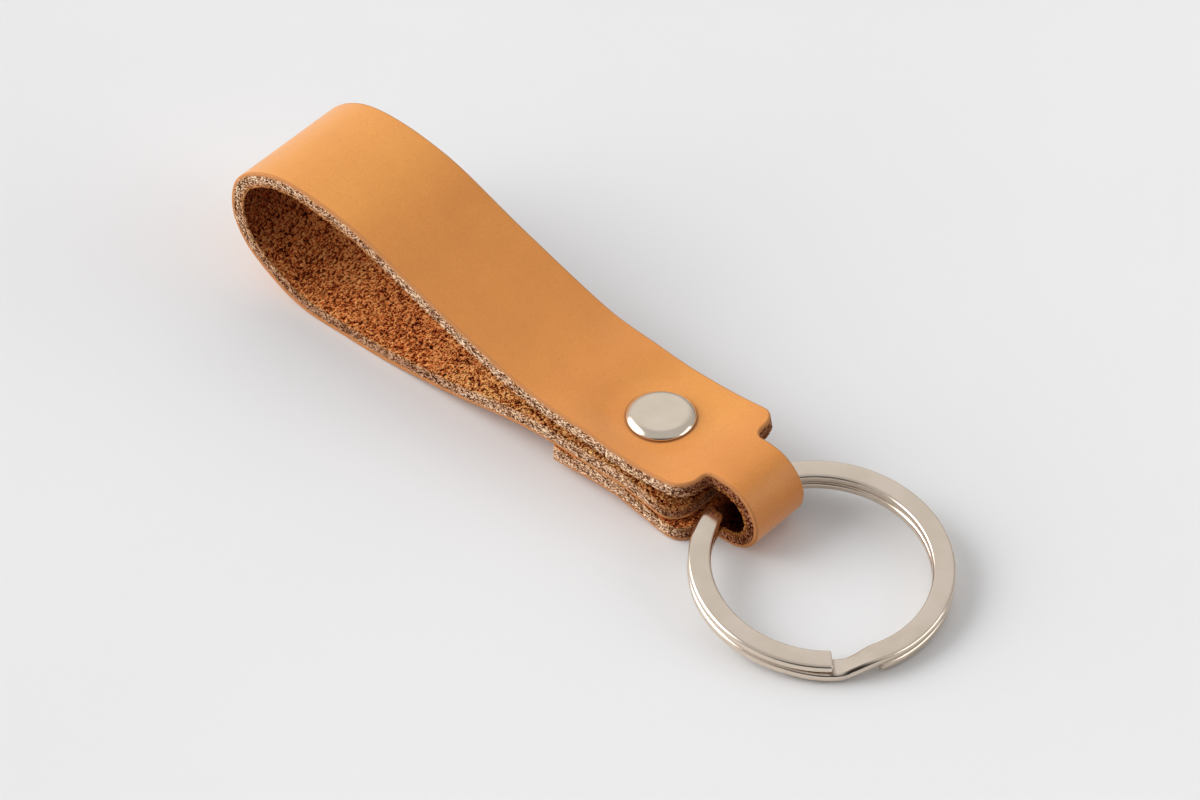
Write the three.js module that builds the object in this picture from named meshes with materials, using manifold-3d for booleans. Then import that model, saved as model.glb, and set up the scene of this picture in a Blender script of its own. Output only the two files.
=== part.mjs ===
// Leather key loop: one folded leather strap, a double-cap rivet and a flat two-turn split ring.
// Millimetres, +Z up, +X from the hand loop towards the ring, +Y across the strap.
// The strap is cut along a cylinder about the loop's bending line, so that the hand loop can turn there.
import * as THREE from 'three';
import { mergeVertices } from 'three/addons/utils/BufferGeometryUtils.js';
import Module from 'manifold-3d';

// ---------------------------------------------------------------- driving dimensions
const STRAP_W = 16.2;          // strap width
const STRAP_T = 2.0;           // leather thickness
const NECK_W = 8.2;            // width of the eye between the two notches
const NECK_Y = -0.15;          // the neck sits a little off the strap's middle
const TAB_END_X = 10.3;        // where the tab's shoulders end, from the rivet's axis
const TAB_CORNER_R = 2.6;      // rounded shoulder
const NOTCH_R = 1.1;           // rounded bottom of the notch
const EYE_X = 12.85;           // centre of the eye's bend
const EYE_Z = 4.68;
const EYE_R = 4.62;            // grain-side radius of the eye
const EYE_LEAN = 0.7;          // how far the eye's lower half reaches out beyond its upper half
const INNER_END_X = 9.2;       // end of the middle layer
const INNER_END_R = 3.0;       // its rounded corners

const BEND_X = -10.5;          // line about which the hand loop bends
const BEND_Z = 6.35;
const BEND_CUT_R = 4.6;        // the cut between tab and hand loop
const GAP = 0.3;               // clearance between pieces that meet

const RIVET_Y = -0.2;           // the rivet sits a little off the strap's middle
const RIVET_HOLE_R = 2.15;
const RIVET_CAP_R = 4.0;       // 8 mm cap
const RIVET_TOP_Z = 7.95;      // grain surface under the top cap
const RIVET_BOTTOM_Z = 1.42;   // grain surface over the base cap
const RIVET_SEGMENTS = 40;

const RING_R = 15.0;           // 30 mm outside
const RING_BAND = 2.6;         // radial width of the wire
const RING_WIRE_T = 1.1;       // thickness of one turn
const RING_TURN_GAP = 0.1;     // between the two turns
const RING_EDGE_R = 0.3;       // rounded edges of the wire
const RING_X = 25.7;           // ring centre, from the rivet's axis
const RING_Y = -2.5;
const RING_Z = 1.76;           // underside of the ring at its centre
const RING_TILT = 6.0;         // degrees, raised at the eye
const RING_ROLL = 2.0;         // degrees, lowered on the side of the free end
const RING_END = -43;          // degrees, free end of the upper turn
const RING_ROOT = -143;        // degrees, where the free end starts to flex
const RING_CUT = 1.3;          // degrees of clearance at that root
const RING_RAMP = 21;          // degrees over which the upper turn drops to the lower one
const RING_TAIL = 20;          // degrees by which the lower turn stops short of the ramp's foot

const ORIGIN_X = 9.355;        // the rivet's axis in the part's frame
const ORIGIN_Y = 2.5;          // the strap's middle in the part's frame

// ---------------------------------------------------------------- grain-side profile of the strap, in X and Z from the rivet's axis
// bottom layer, from its square cut end to the eye
const BOTTOM_LAYER = [[-9.6, 1.31], [-6.5, 1.36], [-4.3, 1.42], [0, 1.42], [4.3, 1.42], [5.4, 1.14], [6.6, 0.55], [7.8, 0.14], [9.2, 0.06], [11.0, 0.06]];
// top layer, from the eye along the tab and up into the hand loop
const TOP_LAYER = [[11.0, 9.27], [9.5, 9.08], [8.0, 8.8], [6.2, 8.42], [4.6, 8.06], [3.8, 7.95], [0, 7.95], [-3.8, 7.95], [-4.8, 8.1], [-6.4, 8.62], [-8.2, 8.96], [-10.2, 9.13], [-12.8, 9.5], [-15.8, 10.13], [-18.8, 10.96], [-21.9, 11.92], [-25.0, 12.96], [-28.0, 13.98], [-31.0, 15.08], [-34.1, 16.32], [-37.2, 17.5], [-40.3, 18.4], [-43.4, 18.97], [-46.5, 19.28], [-49.6, 19.3], [-52.8, 18.74], [-55.3, 17.58], [-57.2, 16.18], [-58.5, 14.65], [-59.2, 12.9], [-59.5, 10.8], [-59.3, 8.7], [-58.4, 6.6], [-57.0, 4.75], [-55.2, 3.3], [-53.2, 2.05], [-51.0, 0.95], [-48.8, 0.28], [-47.0, 0]];
// the stretch of the hand loop that rests flat on the table
const REST_FLAT = [[-47.0, 0], [-38.0, 0]];
// lower run of the hand loop and the middle layer up to its end
const LOWER_RUN = [[-38.0, 0], [-34.6, 0.16], [-31.4, 0.5], [-28.3, 0.88], [-25.2, 1.28], [-22.1, 1.82], [-19.0, 2.5], [-15.9, 3.05], [-12.8, 3.45], [-10.1, 3.65], [-7.5, 3.7], [0, 3.7], [3.8, 3.7], [5.2, 3.46], [6.6, 2.96], [7.9, 2.62], [INNER_END_X, 2.48], [INNER_END_X + 1, 2.42]];

// ---------------------------------------------------------------- solids from closed geometry
const wasm = await Module();
wasm.setup();

function solid(geometry) {
  const g = geometry.clone();
  g.deleteAttribute('normal');
  g.deleteAttribute('uv');
  const m = mergeVertices(g, 1e-5);
  return new wasm.Manifold(new wasm.Mesh({
    numProp: 3,
    vertProperties: new Float32Array(m.attributes.position.array),
    triVerts: new Uint32Array(m.index.array),
  }));
}

function geometryOf(manifold) {
  const mesh = manifold.getMesh();
  const positions = new Float32Array(mesh.numVert * 3);
  for (let i = 0; i < mesh.numVert; i++) {
    for (let k = 0; k < 3; k++) positions[3 * i + k] = mesh.vertProperties[mesh.numProp * i + k];
  }
  const g = new THREE.BufferGeometry();
  g.setAttribute('position', new THREE.BufferAttribute(positions, 3));
  g.setIndex(new THREE.BufferAttribute(new Uint32Array(mesh.triVerts), 1));
  g.computeVertexNormals();
  return g;
}

// ---------------------------------------------------------------- the strap
// points along a smooth curve through the given points, about `step` apart
function sampled(points, step) {
  const curve = new THREE.CatmullRomCurve3(points.map(([x, z]) => new THREE.Vector3(x, 0, z)), false, 'centripetal');
  const n = Math.max(2, Math.round(curve.getLength() / step));
  return curve.getSpacedPoints(n).map((p) => new THREE.Vector2(p.x, p.z));
}

// half turn of the eye on its grain side
function eyeBend(steps) {
  const out = [];
  for (let i = 0; i <= steps; i++) {
    const a = -Math.PI / 2 + (Math.PI * i) / steps;
    out.push(new THREE.Vector2(EYE_X + EYE_LEAN * (1 - Math.sin(a)) / 2 + EYE_R * Math.cos(a), EYE_Z + EYE_R * Math.sin(a)));
  }
  return out;
}

function joined(...runs) {
  const out = [];
  for (const run of runs) {
    for (const p of run) if (!out.length || out[out.length - 1].distanceTo(p) > 0.2) out.push(p);
  }
  return out;
}

// a band of leather: the grain-side curve and its flesh side, one thickness to the left of the way it runs
function band(curve) {
  const flesh = curve.map((p, i) => {
    const a = curve[Math.max(0, i - 1)];
    const b = curve[Math.min(curve.length - 1, i + 1)];
    const d = b.clone().sub(a).normalize();
    return new THREE.Vector2(p.x - d.y * STRAP_T, p.y + d.x * STRAP_T);
  });
  const shape = new THREE.Shape([...curve, ...flesh.reverse()]);
  const g = new THREE.ExtrudeGeometry(shape, { depth: STRAP_W, bevelEnabled: false });
  g.rotateX(Math.PI / 2);
  g.translate(0, STRAP_W / 2, 0);
  return solid(g);
}

// a solid standing on a plan outline in X and Y
function prism(outline, z0, z1) {
  const g = new THREE.ExtrudeGeometry(outline, { depth: z1 - z0, bevelEnabled: false });
  g.translate(0, 0, z0);
  return solid(g);
}

// a cylinder along Y about the bending line
function bendCylinder(r) {
  const g = new THREE.CylinderGeometry(r, r, STRAP_W + 6, 96, 1);
  g.translate(BEND_X, 0, BEND_Z);
  return solid(g);
}

function box(x0, x1, y0, y1, z0, z1) {
  const g = new THREE.BoxGeometry(x1 - x0, y1 - y0, z1 - z0);
  g.translate((x0 + x1) / 2, (y0 + y1) / 2, (z0 + z1) / 2);
  return solid(g);
}

// what is cut away beside the neck, on the side given by `s`
function notch(s) {
  const h = NECK_W / 2 + s * NECK_Y;
  const edge = STRAP_W / 2;
  const o = new THREE.Shape();
  o.moveTo(TAB_END_X - TAB_CORNER_R, s * (edge + 3));
  o.lineTo(TAB_END_X - TAB_CORNER_R, s * edge);
  for (let i = 1; i <= 6; i++) {
    const a = (Math.PI / 2) * (i / 6);
    o.lineTo(TAB_END_X - TAB_CORNER_R + TAB_CORNER_R * Math.sin(a), s * (edge - TAB_CORNER_R + TAB_CORNER_R * Math.cos(a)));
  }
  for (let i = 0; i <= 5; i++) {
    const a = (Math.PI / 2) * (i / 5);
    o.lineTo(TAB_END_X + NOTCH_R - NOTCH_R * Math.cos(a), s * (h + NOTCH_R - NOTCH_R * Math.sin(a)));
  }
  o.lineTo(EYE_X + EYE_R + 3, s * h);
  o.lineTo(EYE_X + EYE_R + 3, s * (edge + 3));
  o.closePath();
  return prism(o, -2, 13);
}

// what is cut away at a rounded corner of the middle layer's end
function endCorner(s) {
  const edge = STRAP_W / 2;
  const o = new THREE.Shape();
  o.moveTo(INNER_END_X - INNER_END_R, s * (edge + 2));
  o.lineTo(INNER_END_X - INNER_END_R, s * edge);
  for (let i = 1; i <= 8; i++) {
    const a = (Math.PI / 2) * (i / 8);
    o.lineTo(INNER_END_X - INNER_END_R + INNER_END_R * Math.sin(a), s * (edge - INNER_END_R + INNER_END_R * Math.cos(a)));
  }
  o.lineTo(INNER_END_X, 0);
  o.lineTo(INNER_END_X + 4, 0);
  o.lineTo(INNER_END_X + 4, s * (edge + 2));
  o.closePath();
  return prism(o, 2, 9);
}

const holeGeometry = new THREE.CylinderGeometry(RIVET_HOLE_R, RIVET_HOLE_R, 14, 32, 1);
holeGeometry.rotateX(Math.PI / 2);
holeGeometry.translate(0, RIVET_Y, 5);
const rivetHole = solid(holeGeometry);

const bottomLayer = sampled(BOTTOM_LAYER, 1.2);
const topLayer = sampled(TOP_LAYER, 1.3);
const restFlat = REST_FLAT.map(([x, z]) => new THREE.Vector2(x, z));
const lowerRun = sampled(LOWER_RUN, 1.6);

const farLeft = box(-90, BEND_X, -20, 20, -5, 40);
const nearRight = box(BEND_X, 60, -20, 20, -5, 40);
const loopSide = farLeft.subtract(bendCylinder(BEND_CUT_R + GAP));
const tabSide = nearRight.add(bendCylinder(BEND_CUT_R));

const frontFold = band(joined(bottomLayer, eyeBend(28), topLayer.filter((p) => p.x > -20 && p.y < 10.6)))
  .intersect(tabSide).subtract(notch(1)).subtract(notch(-1)).subtract(rivetHole);
const innerEnd = band(lowerRun.filter((p) => p.x > -20))
  .intersect(tabSide).subtract(endCorner(1)).subtract(endCorner(-1)).subtract(rivetHole);
const handLoop = band(joined(topLayer.filter((p) => p.x < -8), restFlat, lowerRun.filter((p) => p.x < -8)))
  .intersect(loopSide);

// ---------------------------------------------------------------- the rivet, turned about its own axis
function turned(profile) {
  const g = new THREE.LatheGeometry(profile.map(([r, z]) => new THREE.Vector2(r, z)), RIVET_SEGMENTS);
  g.rotateX(Math.PI / 2);
  g.translate(0, RIVET_Y, 0);
  return geometryOf(solid(g));
}

// a pressed cap with a flat top, a bevel and a rim; z counts from the leather outwards
const CAP = [[0, 0.7], [3.05, 0.7], [3.45, 0.42], [3.6, 0.12], [RIVET_CAP_R, 0.12], [RIVET_CAP_R, 0.45], [3.83, 0.65], [3.55, 0.84], [3.25, 0.97], [2.95, 1.04], [2.8, 1.05], [0, 1.06]];
const capTop = turned(CAP.map(([r, z]) => [r, RIVET_TOP_Z + z]));
const capBase = turned(CAP.map(([r, z]) => [r, RIVET_BOTTOM_Z - z]).reverse());
const socket = turned([[1.35, 2.1], [1.8, 2.1], [1.8, RIVET_TOP_Z + 0.16], [3.0, RIVET_TOP_Z + 0.16], [3.0, RIVET_TOP_Z + 0.46], [1.35, RIVET_TOP_Z + 0.46], [1.35, 2.1]]);
const post = turned([[0, RIVET_BOTTOM_Z - 0.5], [3.0, RIVET_BOTTOM_Z - 0.5], [3.0, RIVET_BOTTOM_Z - 0.18], [1.25, RIVET_BOTTOM_Z - 0.18], [1.05, RIVET_BOTTOM_Z + 0.1], [1.05, RIVET_TOP_Z + 0.35], [0.85, RIVET_TOP_Z + 0.5], [0, RIVET_TOP_Z + 0.5]]);

// ---------------------------------------------------------------- the split ring
// The wire's middle line: the upper turn runs clockwise from its free end, drops on a ramp under that end, and runs on as the lower turn.
class Coil extends THREE.Curve {
  constructor(from, to) {
    super();
    this.from = from;
    this.to = to;
  }
  getPoint(t, target = new THREE.Vector3()) {
    const a = this.from + (this.to - this.from) * t;
    const r = RING_R - RING_BAND / 2;
    const upper = 1.5 * RING_WIRE_T + RING_TURN_GAP;
    const lower = 0.5 * RING_WIRE_T;
    const foot = RING_END - 360;
    const k = THREE.MathUtils.clamp((foot + RING_RAMP - a) / RING_RAMP, 0, 1);
    const z = upper + (lower - upper) * k * k * (3 - 2 * k);
    const rad = THREE.MathUtils.degToRad(a);
    return target.set(r * Math.cos(rad), r * Math.sin(rad), z);
  }
  // the wire keeps its flat side level: one axis of the section is radial, the other is the ring's own axis
  computeFrenetFrames(segments) {
    const tangents = [], normals = [], binormals = [];
    for (let i = 0; i <= segments; i++) {
      const t = i / segments;
      const a = THREE.MathUtils.degToRad(this.from + (this.to - this.from) * t);
      tangents.push(new THREE.Vector3(Math.sin(a), -Math.cos(a), 0));
      normals.push(new THREE.Vector3(Math.cos(a), Math.sin(a), 0));
      binormals.push(new THREE.Vector3(0, 0, 1));
    }
    return { tangents, normals, binormals };
  }
  getSpacedPoints(n) {
    return this.getPoints(n);
  }
}

function wireSection() {
  const w = RING_BAND / 2, h = RING_WIRE_T / 2, e = RING_EDGE_R;
  const pts = [];
  for (const [cx, cy, a0] of [[w - e, h - e, 0], [-w + e, h - e, 90], [-w + e, -h + e, 180], [w - e, -h + e, 270]]) {
    for (let i = 0; i <= 2; i++) {
      const a = THREE.MathUtils.degToRad(a0 + 45 * i);
      pts.push(new THREE.Vector2(cx + e * Math.cos(a), cy + e * Math.sin(a)));
    }
  }
  return new THREE.Shape(pts);
}

function wire(from, to) {
  const steps = Math.ceil(Math.abs(to - from) / 5);
  const g = new THREE.ExtrudeGeometry(wireSection(), { steps, bevelEnabled: false, extrudePath: new Coil(from, to) });
  let s = solid(g);
  if (s.volume() < 0) throw new Error('wire is inside out');
  return geometryOf(s);
}

const freeEnd = wire(RING_END, RING_ROOT);
const coil = wire(RING_ROOT - RING_CUT, RING_END - 720 + RING_TAIL);

// ---------------------------------------------------------------- the assembly
const leather = (color) => new THREE.MeshStandardMaterial({ color, roughness: 0.62, metalness: 0 });
const nickel = (roughness) => new THREE.MeshStandardMaterial({ color: 0xcfc8bb, roughness, metalness: 1 });

function mesh(name, geometry, material) {
  const m = new THREE.Mesh(geometry, material);
  m.name = name;
  return m;
}

const keyLoop = new THREE.Group();
keyLoop.position.set(ORIGIN_X, ORIGIN_Y, 0);
keyLoop.add(
  mesh('strap_front_fold', geometryOf(frontFold), leather(0xc9874c)),
  mesh('strap_inner_end', geometryOf(innerEnd), leather(0x8f5a30)),
  mesh('strap_hand_loop', geometryOf(handLoop), leather(0xcd8b4f)),
  mesh('rivet_top_cap', capTop, nickel(0.16)),
  mesh('rivet_socket', socket, nickel(0.3)),
  mesh('rivet_post', post, nickel(0.3)),
  mesh('rivet_base_cap', capBase, nickel(0.16)),
);

const ring = new THREE.Group();
ring.position.set(RING_X, RING_Y, RING_Z);
ring.rotation.set(THREE.MathUtils.degToRad(RING_ROLL), THREE.MathUtils.degToRad(RING_TILT), 0);
ring.add(
  mesh('split_ring_coil', coil, nickel(0.14)),
  mesh('split_ring_free_end', freeEnd, nickel(0.14)),
);
keyLoop.add(ring);

export default keyLoop;
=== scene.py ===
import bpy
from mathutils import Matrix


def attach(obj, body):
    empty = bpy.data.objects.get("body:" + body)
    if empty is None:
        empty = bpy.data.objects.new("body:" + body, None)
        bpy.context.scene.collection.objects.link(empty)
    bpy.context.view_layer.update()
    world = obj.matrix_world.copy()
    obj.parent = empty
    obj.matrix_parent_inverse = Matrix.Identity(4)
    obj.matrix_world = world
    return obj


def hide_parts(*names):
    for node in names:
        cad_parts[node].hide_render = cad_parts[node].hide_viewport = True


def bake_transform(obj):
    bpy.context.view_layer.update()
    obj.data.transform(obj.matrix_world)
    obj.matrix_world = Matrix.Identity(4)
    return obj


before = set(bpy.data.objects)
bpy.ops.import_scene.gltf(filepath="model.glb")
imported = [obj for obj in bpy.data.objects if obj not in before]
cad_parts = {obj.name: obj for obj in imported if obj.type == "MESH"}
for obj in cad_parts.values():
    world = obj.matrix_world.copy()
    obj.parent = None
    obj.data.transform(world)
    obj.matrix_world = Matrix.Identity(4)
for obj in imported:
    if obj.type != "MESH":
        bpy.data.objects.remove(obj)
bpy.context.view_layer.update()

import math

import bpy
import numpy as np
from mathutils import Vector

# Looks of a leather key loop: one folded strap with raw cut edges, a double-cap rivet and a flat split ring.
# Lengths here are millimetres from the rivet's axis, as in the part's source; MM turns them into metres.
MM = 0.001
OX, OY = 9.355, 2.5            # the rivet's axis and the strap's middle in the part's frame

# ------------------------------------------------------------------ driving dimensions, as in the part's source
STRAP_W, STRAP_T, NECK_W, NECK_Y = 16.2, 2.0, 8.2, -0.15
TAB_END_X, TAB_CORNER_R, NOTCH_R = 10.3, 2.6, 1.1
FAR_CORNER = (2.1, 2.9, 2.3)    # the far corner is crisper: length along, length across and how square it is
EYE_X, EYE_Z, EYE_R, EYE_LEAN = 12.85, 4.68, 4.62, 0.7
INNER_END_R = 3.0
RIVET_Y, RIVET_TOP_Z, RIVET_BOTTOM_Z, RIVET_CAP_R = -0.2, 7.95, 1.42, 4.0
RING_R, RING_BAND, RING_WIRE_T, RING_TURN_GAP = 15.0, 2.6, 1.1, 0.1
RING_X, RING_Y, RING_Z, RING_TILT, RING_ROLL = 25.7, -2.5, 1.76, 6.0, 2.0
RING_END, RING_ROOT, RING_RAMP, RING_TAIL = -43.0, -143.0, 21.0, 20.0

BOTTOM_LAYER = [[-9.6, 1.31], [-6.5, 1.36], [-4.3, 1.42], [0, 1.42], [4.3, 1.42], [5.4, 1.14], [6.6, 0.55], [7.8, 0.14], [9.2, 0.06], [11.0, 0.06]]
TOP_LAYER = [[11.0, 9.27], [9.5, 9.08], [8.0, 8.8], [6.2, 8.42], [4.6, 8.06], [3.8, 7.95], [0, 7.95], [-3.8, 7.95], [-4.8, 8.1], [-6.4, 8.62], [-8.2, 8.96], [-10.2, 9.13], [-12.8, 9.5], [-15.8, 10.13], [-18.8, 10.96], [-21.9, 11.92], [-25.0, 12.96], [-28.0, 13.98], [-31.0, 15.08], [-34.1, 16.32], [-37.2, 17.5], [-40.3, 18.4], [-43.4, 18.97], [-46.5, 19.28], [-49.6, 19.3], [-52.8, 18.74], [-55.3, 17.58], [-57.2, 16.18], [-58.5, 14.65], [-59.2, 12.9], [-59.5, 10.8], [-59.3, 8.7], [-58.4, 6.6], [-57.0, 4.75], [-55.2, 3.3], [-53.2, 2.05], [-51.0, 0.95], [-48.8, 0.28], [-47.0, 0]]
LOWER_RUN = [[-44.0, 0], [-41.0, 0], [-38.0, 0], [-34.6, 0.16], [-31.4, 0.5], [-28.3, 0.88], [-25.2, 1.28], [-22.1, 1.82], [-19.0, 2.5], [-15.9, 3.05], [-12.8, 3.45], [-10.1, 3.65], [-7.5, 3.7], [0, 3.7], [3.8, 3.7], [5.2, 3.46], [6.6, 2.96], [7.9, 2.62], [9.2, 2.48]]


# ------------------------------------------------------------------ helpers
def smooth(a, b, t):
    k = np.clip((np.asarray(t, float) - a) / (b - a), 0, 1)
    return k * k * (3 - 2 * k)


def noise2(u, v, seed):
    """Gradient noise of two coordinates, about -1 to 1, the same for the same seed."""
    rng = np.random.RandomState(seed)
    perm = rng.permutation(512)
    ang = rng.rand(512) * 2 * math.pi
    gx, gy = np.cos(ang), np.sin(ang)
    u, v = np.broadcast_arrays(np.asarray(u, float), np.asarray(v, float))
    iu, iv = np.floor(u).astype(int), np.floor(v).astype(int)
    fu, fv = u - iu, v - iv

    def corner(di, dj):
        h = perm[(perm[(iu + di) & 511] + iv + dj) & 511]
        return gx[h] * (fu - di) + gy[h] * (fv - dj)

    a, b = fu * fu * fu * (fu * (fu * 6 - 15) + 10), fv * fv * fv * (fv * (fv * 6 - 15) + 10)
    low = corner(0, 0) * (1 - a) + corner(1, 0) * a
    high = corner(0, 1) * (1 - a) + corner(1, 1) * a
    return 1.5 * (low * (1 - b) + high * b)


def catmull(points, per=60):
    """A centripetal spline through the points."""
    p = np.array(points, float)
    p = np.vstack([2 * p[0] - p[1], p, 2 * p[-1] - p[-2]])
    out = []
    for i in range(1, len(p) - 2):
        p0, p1, p2, p3 = p[i - 1:i + 3]
        t1 = np.linalg.norm(p1 - p0) ** 0.5
        t2 = t1 + np.linalg.norm(p2 - p1) ** 0.5
        t3 = t2 + np.linalg.norm(p3 - p2) ** 0.5
        t = np.linspace(t1, t2, per, endpoint=False)[:, None]
        a1 = (t1 - t) / t1 * p0 + t / t1 * p1
        a2 = (t2 - t) / (t2 - t1) * p1 + (t - t1) / (t2 - t1) * p2
        a3 = (t3 - t) / (t3 - t2) * p2 + (t - t2) / (t3 - t2) * p3
        b1 = (t2 - t) / t2 * a1 + t / t2 * a2
        b2 = (t3 - t) / (t3 - t1) * a2 + (t - t1) / (t3 - t1) * a3
        out.append((t2 - t) / (t2 - t1) * b1 + (t - t1) / (t2 - t1) * b2)
    return np.vstack(out + [p[-2][None]])


def signed_volume(co, faces):
    v = 0.0
    for f in faces:
        a = co[f[0]]
        for k in range(1, len(f) - 1):
            v += float(np.dot(a, np.cross(co[f[k]], co[f[k + 1]])))
    return v / 6


def new_piece(name, co_mm, faces, smooth_faces=True):
    """A mesh object in the part's frame from points in millimetres from the rivet's axis."""
    co = (np.asarray(co_mm, float) + [OX, OY, 0]) * MM
    me = bpy.data.meshes.new(name)
    me.from_pydata(co.tolist(), [], [list(map(int, f)) for f in faces])
    me.polygons.foreach_set("use_smooth", [smooth_faces] * len(me.polygons))
    me.update()
    ob = bpy.data.objects.new(name, me)
    bpy.context.scene.collection.objects.link(ob)
    return ob


# ------------------------------------------------------------------ node materials
class Nodes:
    """A short way to lay out a node material."""

    def __init__(self, name):
        self.mat = bpy.data.materials.new(name)
        self.mat.use_nodes = True
        self.tree = self.mat.node_tree
        self.tree.nodes.clear()
        self.out = self.tree.nodes.new("ShaderNodeOutputMaterial")
        self.bsdf = self.tree.nodes.new("ShaderNodeBsdfPrincipled")
        self.link(self.bsdf.outputs["BSDF"], self.out.inputs["Surface"])

    def add(self, kind, **values):
        n = self.tree.nodes.new(kind)
        for k, v in values.items():
            setattr(n, k, v)
        return n

    def link(self, a, b):
        self.tree.links.new(a, b)

    def put(self, socket, value):
        if isinstance(value, bpy.types.NodeSocket):
            self.link(value, socket)
        else:
            socket.default_value = value

    def coords(self, attribute, scale=(1, 1, 1), turn=(0, 0, 0)):
        a = self.add("ShaderNodeAttribute", attribute_name=attribute)
        m = self.add("ShaderNodeMapping")
        m.inputs["Scale"].default_value = scale
        m.inputs["Rotation"].default_value = turn
        self.link(a.outputs["Vector"], m.inputs["Vector"])
        return m.outputs["Vector"]

    def noise(self, vector, scale, detail=2.0, rough=0.5, warp=0.0):
        n = self.add("ShaderNodeTexNoise")
        self.put(n.inputs["Vector"], vector)
        n.inputs["Scale"].default_value = scale
        n.inputs["Detail"].default_value = detail
        n.inputs["Roughness"].default_value = rough
        n.inputs["Distortion"].default_value = warp
        return n.outputs["Fac"]

    def ramp(self, fac, stops, mode="LINEAR"):
        r = self.add("ShaderNodeValToRGB")
        r.color_ramp.interpolation = mode
        while len(r.color_ramp.elements) < len(stops):
            r.color_ramp.elements.new(0.5)
        for e, (pos, col) in zip(r.color_ramp.elements, stops):
            e.position = pos
            e.color = (*col, 1) if len(col) == 3 else col
        self.put(r.inputs["Fac"], fac)
        return r.outputs["Color"]

    def remap(self, value, a, b, c, d):
        m = self.add("ShaderNodeMapRange")
        self.put(m.inputs["Value"], value)
        for k, v in zip(("From Min", "From Max", "To Min", "To Max"), (a, b, c, d)):
            m.inputs[k].default_value = v
        return m.outputs["Result"]

    def math(self, op, a, b=0.0):
        m = self.add("ShaderNodeMath", operation=op)
        self.put(m.inputs[0], a)
        self.put(m.inputs[1], b)
        return m.outputs[0]

    def mix(self, fac, a, b, mode="MIX"):
        m = self.add("ShaderNodeMix", data_type="RGBA", blend_type=mode)
        self.put(m.inputs["Factor"], fac)
        self.put(m.inputs[6], a)
        self.put(m.inputs[7], b)
        return m.outputs[2]

    def bump(self, height, strength, distance, normal=None):
        b = self.add("ShaderNodeBump")
        b.inputs["Strength"].default_value = strength
        b.inputs["Distance"].default_value = distance
        self.put(b.inputs["Height"], height)
        if normal is not None:
            self.link(normal, b.inputs["Normal"])
        return b.outputs["Normal"]


def srgb(r, g, b):
    return tuple(((c / 255 + 0.055) / 1.055) ** 2.4 if c > 10 else c / 255 / 12.92 for c in (r, g, b))


def leather_grain():
    m = Nodes("leather_grain")
    flat = m.coords("strap_co")
    cloudy = m.noise(flat, 0.14, 3, 0.55, 0.4)
    mottled = m.noise(flat, 0.8, 4, 0.6)
    fine = m.noise(flat, 6.0, 3, 0.6)
    base = m.ramp(cloudy, [(0.3, srgb(222, 140, 58)), (0.7, srgb(228, 146, 61))])
    base = m.mix(m.remap(mottled, 0.38, 0.68, 0.0, 0.10), base, (*srgb(208, 126, 48), 1))
    base = m.mix(m.remap(fine, 0.48, 0.70, 0.0, 0.26), base, (*srgb(180, 102, 38), 1))
    speck = m.noise(flat, 2.6, 2, 0.6)
    base = m.mix(m.remap(speck, 0.52, 0.72, 0.0, 0.2), base, (*srgb(186, 106, 40), 1))
    # painted light: the bent crown and the open half of the tab are made paler and whiter, as if more light falls on
    # them
    pale = m.add("ShaderNodeAttribute", attribute_name="strap_painted_light").outputs["Fac"]
    base = m.mix(pale, base, (1.07, 1.17, 1.22, 1), "MULTIPLY")
    # painted shade: the front of the eye, turned away from the light, is made a little darker and browner
    eye_front_shade = m.add("ShaderNodeAttribute", attribute_name="strap_eye_front_shade").outputs["Fac"]
    base = m.mix(eye_front_shade, base, (0.90, 0.84, 0.80, 1), "MULTIPLY")
    # painted contact shadow: a dark line round where a cap sits on the leather
    a = m.add("ShaderNodeAttribute", attribute_name="strap_cap_shadow_at")
    far = m.add("ShaderNodeVectorMath", operation="LENGTH")
    m.link(a.outputs["Vector"], far.inputs[0])
    base = m.mix(m.remap(far.outputs["Value"], 4.06, 4.30, 0.62, 0.0), base, (*srgb(92, 44, 18), 1))
    m.put(m.bsdf.inputs["Base Color"], base)
    m.put(m.bsdf.inputs["Roughness"], m.remap(mottled, 0.3, 0.7, 0.42, 0.50))
    m.bsdf.inputs["Specular IOR Level"].default_value = 0.52
    m.bsdf.inputs["Sheen Weight"].default_value = 0.5
    m.bsdf.inputs["Sheen Roughness"].default_value = 0.42
    m.bsdf.inputs["Sheen Tint"].default_value = (1.0, 0.9, 0.78, 1)
    pores = m.add("ShaderNodeTexVoronoi", feature="DISTANCE_TO_EDGE")
    m.put(pores.inputs["Vector"], m.coords("strap_co"))
    pores.inputs["Scale"].default_value = 3.6
    cells = m.remap(pores.outputs["Distance"], 0.0, 0.12, 0.0, 1.0)
    n = m.bump(cells, 0.10, 0.00004)
    n = m.bump(fine, 0.22, 0.00005, n)
    n = m.bump(mottled, 0.15, 0.00012, n)
    m.link(n, m.bsdf.inputs["Normal"])
    return m.mat


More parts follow.
